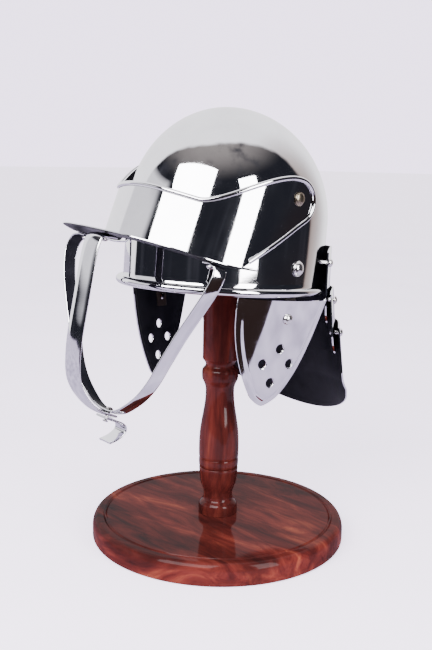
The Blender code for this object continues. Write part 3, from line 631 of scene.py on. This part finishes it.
def make_guard():
    right = [
        guard_point(-0.0900, 0.1070, 0.3196), guard_point(-0.1010, 0.1070, 0.3192),
        guard_point(-0.1105, 0.1080, 0.3145), guard_point(-0.1135, 0.1130, 0.2990),
        guard_point(-0.1060, 0.1190, 0.2750), guard_point(-0.0925, 0.1250, 0.2500),
        guard_point(-0.0765, 0.1310, 0.2230), guard_point(-0.0640, 0.1360, 0.1990),
        guard_point(-0.0480, 0.1400, 0.1810), guard_point(-0.0250, 0.1425, 0.1650),
        guard_point(-0.0110, 0.1430, 0.1592),
    ]
    left = [
        guard_point(0.0110, 0.1430, 0.1592), guard_point(0.0235, 0.1425, 0.1650),
        guard_point(0.0430, 0.1400, 0.1810), guard_point(0.0560, 0.1360, 0.1990),
        guard_point(0.0675, 0.1310, 0.2230), guard_point(0.0805, 0.1250, 0.2500),
        guard_point(0.0940, 0.1190, 0.2750), guard_point(0.1060, 0.1130, 0.2990),
        guard_point(0.1080, 0.1080, 0.3145), guard_point(0.1010, 0.1070, 0.3192),
        guard_point(0.0900, 0.1070, 0.3196),
    ]
    path = smooth_path(left[::-1] + [guard_point(0.0, 0.1430, 0.1580)] + right[::-1], 12)
    across = []
    for p in path:
        twist = NEAR_BAR_TWIST if p.x > 0 else FAR_BAR_TWIST
        across.append(Vector((min(abs(p.x) / TWIST_START, 1.0) * twist, 0.887, -0.337)))
    sides = strip("guard_side_bars_bent", path, across, [BAR_WIDTH] * len(path), BAR_THICKNESS,
                  [EDGE_CHROME, BLACK], crown=0.0003, place=GUARD_FRAME)
    finish_piece(sides, "visor", "chrome", "guard_side_bars")

    route = [
        guard_point(0, 0.1500, 0.3340), guard_point(0, 0.1600, 0.3358), guard_point(0, 0.1685, 0.3345),
        guard_point(0, 0.1750, 0.3150), guard_point(0, 0.1819, 0.2753), guard_point(0, 0.1881, 0.2371),
        guard_point(0, 0.1889, 0.2080), guard_point(0, 0.1846, 0.1905), guard_point(0, 0.1735, 0.1745),
        guard_point(0, 0.1600, 0.1633), guard_point(0, 0.1390, 0.1530),
    ]
    path = smooth_path(route, 12)
    widths = [0.0235 - 0.006 * max(i / (len(path) - 1) - 0.6, 0.0) / 0.4 for i in range(len(path))]
    centre = strip("guard_centre_bar_bowed", path, [Vector((1, 0, 0))] * len(path), widths, BAR_THICKNESS,
                   [EDGE_CHROME, BLACK], crown=0.0016, place=GUARD_FRAME)
    finish_piece(centre, "visor", "chrome", "guard_centre_bar")

    route = [
        guard_point(0, 0.1520, 0.1538), guard_point(0, 0.1440, 0.1500), guard_point(0, 0.1335, 0.1455),
        guard_point(0, 0.1270, 0.1400), guard_point(0, 0.1277, 0.1335), guard_point(0, 0.1364, 0.1285),
        guard_point(0, 0.1470, 0.1264),
    ]
    path = smooth_path(route, 12)
    hook = strip("chin_hook_bent", path, [Vector((1, 0, 0))] * len(path), [0.018] * len(path), 0.002,
                 [EDGE_CHROME], crown=0.0002, place=GUARD_FRAME)
    finish_piece(hook, "visor", "chrome", "chin_hook")

    through = (VISOR_FRAME.to_3x3() @ Vector((0, 0, 1))).normalized()
    for name, spot, below, sunk in (
            ("guard_rivet_right", guard_point(-0.0950, 0.1070, 0.3194), 0.0022, 0.0009),
            ("guard_rivet_centre", guard_point(0, 0.1560, 0.3350), 0.0028, 0.0014),
            ("guard_rivet_left", guard_point(0.0950, 0.1070, 0.3194), 0.0022, 0.0009)):
        seat = GUARD_FRAME @ spot - through * below
        length = ((VISOR_FRAME @ Vector((0, 0, PEAK_TOP - sunk))) - seat).dot(through)
        piece = rivet(name + "_domed", seat, -through, GUARD_HEAD_RADIUS, THIN_SHANK_RADIUS, length,
                      [RIVET_CHROME], tail=False)
        finish_piece(piece, "visor", "chrome", name)
    along = (GUARD_FRAME.to_3x3() @ Vector((0, 0.40, 0.917))).normalized()
    seat = GUARD_FRAME @ guard_point(0, 0.1430, 0.1580) + along * 0.0016
    piece = rivet("chin_rivet_domed", seat, along, GUARD_HEAD_RADIUS, THIN_SHANK_RADIUS, 0.0118,
                  [RIVET_CHROME])
    finish_piece(piece, "visor", "chrome", "chin_rivet")


# ---------------------------------------------------------------- cheek pieces

def cheek_frame(side):
    """Origin at the middle of the plate's top edge, +X forward, +Y outward, +Z up."""
    front = Vector((side * 0.0862, -0.0605, 0.2815))
    rear = Vector((side * 0.1118, 0.0472, 0.2722))
    forward = (front - rear).normalized()
    up = Vector((0, 0, 1))
    out = up.cross(forward) if side > 0 else forward.cross(up)
    out.normalize()
    out = (out - up * CHEEK_LEAN).normalized()
    up = forward.cross(out)
    if up.z < 0:
        up = -up
    return Matrix.Translation((front + rear) / 2) @ Matrix((
        (forward.x, out.x, up.x, 0), (forward.y, out.y, up.y, 0), (forward.z, out.z, up.z, 0), (0, 0, 0, 1)))


def cheek_edges(drop):
    """Front and rear edges of the leaf-shaped plate at a share of its height."""
    front = CHEEK_TOP_HALF - (CHEEK_TOP_HALF - CHEEK_TIP) * 0.80 * drop ** 2.2
    rear = -CHEEK_TOP_HALF + (CHEEK_TOP_HALF + CHEEK_TIP) * (0.55 * drop + 0.32 * drop ** 4)
    if drop > 0.9:
        near = (drop - 0.9) / 0.1
        middle = (front + rear) / 2
        keep = math.sqrt(max(1 - near * near, 0.0))
        front, rear = middle + (front - middle) * keep, middle + (rear - middle) * keep
    return front, rear


def make_cheek(side, word):
    """The plate's field is raised inside a flat margin, and its inner face is painted black."""
    place = cheek_frame(side)
    drops = [k / 60 * 0.9 for k in range(61)]
    drops += [0.9 + 0.1 * math.sin(math.pi / 2 * k / 16) for k in range(1, 17)]
    outline = []
    for drop in drops:
        front, rear = cheek_edges(drop)
        outline += [(front, -CHEEK_HEIGHT * drop), (rear, -CHEEK_HEIGHT * drop)]
    outer, inner = [], []
    columns = 60
    for drop in drops:
        front, rear = cheek_edges(drop)
        row_outer, row_inner = [], []
        for k in range(columns + 1):
            share = 0.5 - 0.5 * math.cos(math.pi * k / columns)
            share = 0.5 * share + 0.5 * k / columns
            x, z = front + (rear - front) * share, -CHEEK_HEIGHT * drop
            near = min(math.hypot(x - a, z - b) for a, b in outline)
            step = max(0.0, min(1.0, (near - EMBOSS_MARGIN) / EMBOSS_STEP))
            raised = EMBOSS_RISE * step * step * (3 - 2 * step)
            bow = -CHEEK_BOW * (x / CHEEK_TOP_HALF) ** 2
            row_outer.append(Vector((x, bow + raised, z)))
            row_inner.append(Vector((x, bow - SHEET + raised * 0.6, z)))
        outer.append(row_outer)
        inner.append(row_inner)
    plate = shell("cheek_plate_" + word + "_embossed", outer, inner, [CHROME, BLACK], place)
    for x, z in CHEEK_HOLES:
        pierce(plate, CHEEK_HOLE_RADIUS, place @ Vector((x, -0.02, z)), place @ Vector((x, 0.02, z)))
    finish_piece(plate, "cheek_" + word, "chrome_black_back", "cheek_plate_" + word)


def wall_point(side, y, height, inset=0.0):
    """A point on the side of the bowl at a place from front to back and a height above the rim."""
    shrink = 1.0
    if height > WALL_HEIGHT:
        shrink = math.sqrt(1 - ((height - WALL_HEIGHT) / (DOME_RISE - inset)) ** 2)
    reach = (HALF_BACK if y > 0 else HALF_FRONT) * shrink
    return Vector((side * ((HALF_WIDTH - inset) * shrink * math.sqrt(1 - (y / reach) ** 2)), y, height))


def make_cheek_hanging(side, word):
    """One strap from a rivet in the bowl, down inside the rim, to a rivet in the cheek plate."""
    place = cheek_frame(side)
    inverse = BOWL_FRAME.inverted()
    y, height = 0.0090, 0.0245
    wall, inside = wall_point(side, y, height), wall_point(side, y, height, SHEET)
    out = Vector((side, 0.12, 0)).normalized()
    world_out = BOWL_FRAME.to_3x3() @ out
    head = rivet("bowl_rivet_" + word + "_domed", BOWL_FRAME @ (wall + out * GAP), world_out,
                 BOWL_HEAD_RADIUS, SHANK_RADIUS, SHEET + STRAP_THICKNESS + 0.0030, [RIVET_CHROME])
    finish_piece(head, "helmet", "chrome", "bowl_rivet_" + word)

    depth = STRAP_THICKNESS / 2 + 0.0014
    hinge = inverse @ (place @ Vector((0.0, -0.0062, -0.0020)))
    hinge.y = y + (hinge.y - y) * 0.3
    upper = [inside - out * depth + Vector((0, 0, 0.011)), inside - out * depth,
             inside - out * depth + Vector((0, 0, -height + 0.003)), hinge]
    x = CHEEK_RIVET_X
    bow = -CHEEK_BOW * (x / CHEEK_TOP_HALF) ** 2
    back = SHEET + STRAP_THICKNESS / 2 + 0.0007
    lower = [inverse @ (place @ Vector((x, bow - back - sink, z)))
             for z, sink in ((-0.0110, 0.0006), (-0.020, 0.0), (-0.030, 0.0))]
    path = smooth_path(upper + lower, 8)
    sideways = [Vector((0, 1, 0))] * len(path)
    strap = strip("cheek_strap_" + word, path, sideways, [STRAP_WIDTH] * len(path), STRAP_THICKNESS,
                  [LEATHER], place=BOWL_FRAME)
    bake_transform(strap)
    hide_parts("cheek_strap_upper_" + word, "cheek_strap_lower_" + word)

    spot = Vector((x, bow + EMBOSS_RISE, CHEEK_RIVET_Z))
    head = rivet("cheek_rivet_" + word + "_domed", place @ (spot + Vector((0, GAP, 0))),
                 place.to_3x3() @ Vector((0, 1, 0)), CHEEK_HEAD_RADIUS, SHANK_RADIUS,
                 SHEET + STRAP_THICKNESS + 0.0029, [RIVET_CHROME])
    finish_piece(head, "cheek_" + word, "chrome", "cheek_rivet_" + word)


# ---------------------------------------------------------------- neck guard

def lame_point(lame, angle, height, inset=0.0):
    """A point on a lame: angle 0 is the back, and height is above the rim plane."""
    name, _, width, back, top, bottom, flare, _ = lame
    share = (top - height) / (top - bottom)
    out = flare * share - inset
    if name == "lame_lower" and share > 0.8:
        out += 0.003 * min((share - 0.8) / 0.2, 1.0) ** 2
    return Vector(((width + out) * math.sin(angle), (back + out) * math.cos(angle), height))


def make_lame(lame):
    name, span, _, _, top, bottom, _, droop = lame
    reach, corner = math.radians(span), 0.020
    rows, columns = 40, 120
    outer, inner = [], []
    for r in range(rows + 1):
        row_outer, row_inner = [], []
        for c in range(columns + 1):
            part = -1 + 2 * c / columns
            lift = max(abs(part) - 0.82, 0.0) / 0.18
            rounded = corner * (1 - math.sqrt(max(1 - lift * lift, 0.0)))
            low = bottom + rounded - droop * math.cos(math.pi / 2 * part)
            high = top - 0.3 * rounded
            h = high + (low - high) * r / rows
            row_outer.append(lame_point(lame, reach * part, h))
            row_inner.append(lame_point(lame, reach * part, h, SHEET))
        outer.append(row_outer)
        inner.append(row_inner)
    made = shell(name + "_plate", outer, inner, [CHROME, BLACK], BOWL_FRAME)
    finish_piece(made, name.replace("lame", "tail"), "chrome_black_back", name)


def bowl_inside(point):
    """Whether a point on the nape side lies within the bowl's inner wall."""
    back = HALF_BACK - (HALF_BACK - HALF_NAPE) * (1 - point.z / WALL_HEIGHT) ** 2 - SHEET
    return (point.x / (HALF_WIDTH - SHEET)) ** 2 + (point.y / back) ** 2 < 1


def lame_inside(point, lame):
    """Whether a point is still outside the inner face of a lame."""
    angle = math.atan2(point.x / lame[2], point.y / lame[3])
    wall = lame_point(lame, angle, point.z, SHEET)
    return point.x ** 2 + point.y ** 2 > wall.x ** 2 + wall.y ** 2


def make_tail_rivets():
    turn = BOWL_FRAME.to_3x3()
    for name, index, degrees, height, body in TAIL_RIVETS:
        for side, word in ((-1, "right"), (1, "left")):
            lame = LAMES[index]
            spot = lame_point(lame, side * math.radians(degrees), height)
            out = Vector((spot.x / lame[2] ** 2, spot.y / lame[3] ** 2, 0)).normalized()
            depth = 0.0
            while (lame_inside(spot - out * depth, LAMES[index - 1]) if index
                   else not bowl_inside(spot - out * depth)):
                depth += 0.0002
            piece = rivet(name + "_" + word + "_domed", BOWL_FRAME @ (spot + out * GAP), turn @ out,
                          TAIL_HEAD_RADIUS, SHANK_RADIUS, depth + 0.0030, [RIVET_CHROME])
            finish_piece(piece, body, "chrome", name + "_" + word)


def make_pivots():
    for side, word in ((-1, "right"), (1, "left")):
        seat = Vector((side * BAND_HALF_WIDTH, 0, 0))
        local = BOWL_FRAME.inverted() @ (VISOR_FRAME @ seat)
        inner = BOWL_FRAME @ wall_point(side, local.y, local.z, SHEET)
        length = (VISOR_FRAME @ seat - inner).length + 0.0024
        out = (VISOR_FRAME.to_3x3() @ Vector((side, 0, 0))).normalized()
        under_head = VISOR_FRAME @ (seat + Vector((side * GAP * 1.5, 0, 0)))
        piece = rivet("pivot_rivet_" + word + "_domed", under_head, out, PIVOT_HEAD_RADIUS, 0.0025,
                      length + GAP, [BRASS], flat=0.40)
        finish_piece(piece, "helmet", "brass", "pivot_rivet_" + word)


make_stand()
make_bowl()
make_band()
make_border()
make_peak()
make_guard()
make_pivots()
for side, word in ((-1, "right"), (1, "left")):
    make_cheek(side, word)
    make_cheek_hanging(side, word)
for lame in LAMES:
    make_lame(lame)
make_tail_rivets()


# ---------------------------------------------------------------- studio

TO_CAMERA = (0.7071, -0.7071, 0.0)
TO_RIGHT = (0.7071, 0.7071, 0.0)
CAMERA_PLACE, CAMERA_AIM, CAMERA_ROLL = (0.6771, -0.6850, 0.4144), (-0.6954, 0.6954, -0.1810), 1.04

# what is behind the object for the camera, and what fills its shadows
BACKDROP, FILL = (3.15, 2.72, 3.60), (1.45, 1.42, 1.50)
# what the metal reflects: a white sweep behind that browns to the right, and a dark room in front
STUDIO_WHITE, SWEEP_SHADE, DARK_EDGE = (2.05, 2.00, 2.10), (0.62, 0.50, 0.47), (0.080, 0.045, 0.040)
DARK_ROOM, ROOM_PATCHES, ROOM_BELOW = (0.020, 0.021, 0.029), (0.06, 0.06, 0.075), (0.034, 0.021, 0.020)
GREY_CEILING, SIDE_CARD = (0.42, 0.38, 0.37), (1.30, 1.27, 1.36)

SOFTBOX_TARGET, SOFTBOX_COLOUR = (0, 0, 0.38), (1.0, 0.98, 1.0)
FLOOR_REACH, FLOOR_GLOW = 30.0, 1.75
# the part of the floor that the metal reflects, as (towards the camera, to its right)
REFLECTED_FLOOR = ((-4.0, -4.0), (0.90, -4.0), (0.75, -0.05), (0.42, 0.12), (0.35, 0.30), (0.57, 1.00),
                   (-4.0, 1.00))


def make_world():
    """Pale to the camera and as fill; glossy rays see a white sweep behind and a dark room in front."""
    world = bpy.data.worlds.new("studio")
    world.use_nodes = True
    bpy.context.scene.world = world
    nodes = Nodes(world.node_tree)
    back = world.node_tree.nodes["Background"]
    way = nodes.add("ShaderNodeTexCoord").outputs["Generated"]
    ahead = nodes.add("ShaderNodeVectorMath", {0: way, 1: TO_CAMERA}, operation="DOT_PRODUCT")
    right = nodes.add("ShaderNodeVectorMath", {0: way, 1: TO_RIGHT}, operation="DOT_PRODUCT")
    ahead, right = ahead.outputs["Value"], right.outputs["Value"]
    height = nodes.add("ShaderNodeSeparateXYZ", {0: way}).outputs["Z"]
    rough = nodes.noise(way, 3.0, 3.0)
    overhead = nodes.span(height, 0.58, 0.98, smooth=True)
    ceiling = nodes.mix(overhead, DARK_ROOM, GREY_CEILING)
    room = nodes.mix(nodes.span(rough, 0.5, 0.75, smooth=True), ceiling, ROOM_PATCHES)
    room = nodes.mix(nodes.span(height, -0.05, -0.28, smooth=True), room, ROOM_BELOW)
    sweep = nodes.mix(nodes.span(right, 0.45, 0.92, smooth=True), STUDIO_WHITE, SWEEP_SHADE)
    strip = nodes.math("MULTIPLY", nodes.span(right, 0.84, 0.93, smooth=True),
                       nodes.span(ahead, -0.52, -0.36, smooth=True))
    sweep = nodes.mix(strip, sweep, DARK_EDGE)
    beside = nodes.math("MULTIPLY", nodes.span(right, -0.72, -0.80), nodes.span(ahead, 0.42, 0.30))
    beside = nodes.math("MULTIPLY", beside, nodes.span(height, 0.04, 0.10))
    beside = nodes.math("MULTIPLY", beside, nodes.span(height, 0.54, 0.46))
    room = nodes.mix(beside, room, SIDE_CARD)
    bowed = nodes.math("SUBTRACT", 0.20, nodes.math("MULTIPLY", nodes.math("MULTIPLY", right, right), 0.75))
    edge = nodes.math("ADD", nodes.math("SUBTRACT", ahead, bowed), nodes.span(rough, 0.3, 0.7, -0.03, 0.03))
    studio = nodes.mix(nodes.span(edge, -0.05, 0.05, smooth=True), sweep, room)
    path = nodes.add("ShaderNodeLightPath")
    fill = nodes.mix(path.outputs["Is Camera Ray"], FILL, BACKDROP)
    nodes.link(nodes.mix(path.outputs["Is Glossy Ray"], fill, studio), back.inputs["Color"])
    back.inputs["Strength"].default_value = 1.0


def stage_plane(name, corners, look):
    mesh = bpy.data.meshes.new(name)
    mesh.from_pydata(corners, [], [list(range(len(corners)))])
    mesh.materials.append(look)
    made = bpy.data.objects.new(name, mesh)
    bpy.context.collection.objects.link(made)
    return made


def make_floor():
    look, nodes, shader, where = new_material("floor_paper")
    paper = nodes.ramp(nodes.noise(where, 3.0, 2.0), ((0.3, (0.80, 0.72, 0.87)), (0.7, (0.83, 0.75, 0.90))))
    nodes.link(paper, shader.inputs["Base Color"])
    nodes.link(paper, shader.inputs["Emission Color"])
    shader.inputs["Emission Strength"].default_value = FLOOR_GLOW
    shader.inputs["Roughness"].default_value = 0.7
    wide = FLOOR_REACH
    floor = stage_plane("floor", [(-wide, -wide, 0), (wide, -wide, 0), (wide, wide, 0), (-wide, wide, 0)],
                        look)
    floor.visible_glossy = False


def make_reflected_floor():
    """The floor as the metal sees it: it ends where the dark room begins."""
    look, nodes, shader, where = new_material("floor_reflected")
    paper = nodes.ramp(nodes.noise(where, 7.0, 2.0), ((0.3, (0.30, 0.29, 0.34)), (0.7, (0.55, 0.54, 0.60))))
    nodes.link(paper, shader.inputs["Base Color"])
    shader.inputs["Roughness"].default_value = 0.9
    ahead, side = Vector(TO_CAMERA), Vector(TO_RIGHT)
    corners = [tuple(ahead * a + side * b) for a, b in REFLECTED_FLOOR]
    floor = stage_plane("floor_seen_in_metal", corners, look)
    floor.visible_camera = floor.visible_diffuse = floor.visible_shadow = False


def area_light(name, place, width, height, power):
    """A softbox aimed at the helmet."""
    light = bpy.data.lights.new(name, "AREA")
    light.shape = "RECTANGLE"
    light.size, light.size_y, light.energy, light.color = width, height, power, SOFTBOX_COLOUR
    made = bpy.data.objects.new(name, light)
    made.location = place
    made.rotation_euler = (Vector(SOFTBOX_TARGET) - Vector(place)).to_track_quat("-Z", "Y").to_euler()
    bpy.context.collection.objects.link(made)
    return made


def make_camera():
    data = bpy.data.cameras.new("camera")
    data.lens, data.sensor_width = 49.85, 36.0
    camera = bpy.data.objects.new("camera", data)
    away = -Vector(CAMERA_AIM).normalized()
    level = Vector(TO_RIGHT)
    rise = away.cross(level)
    roll = math.radians(CAMERA_ROLL)
    x = level * math.cos(roll) + rise * math.sin(roll)
    y = rise * math.cos(roll) - level * math.sin(roll)
    turn = Matrix((x, y, away)).transposed().to_4x4()
    camera.matrix_world = Matrix.Translation(CAMERA_PLACE) @ turn
    bpy.context.collection.objects.link(camera)
    bpy.context.scene.camera = camera


make_camera()
make_world()
make_floor()
make_reflected_floor()
area_light("softbox_left", (0.368, -1.287, 1.25), width=1.42, height=1.10, power=75)
area_light("softbox_right", (2.124, -0.074, 0.95), width=0.74, height=1.70, power=60)
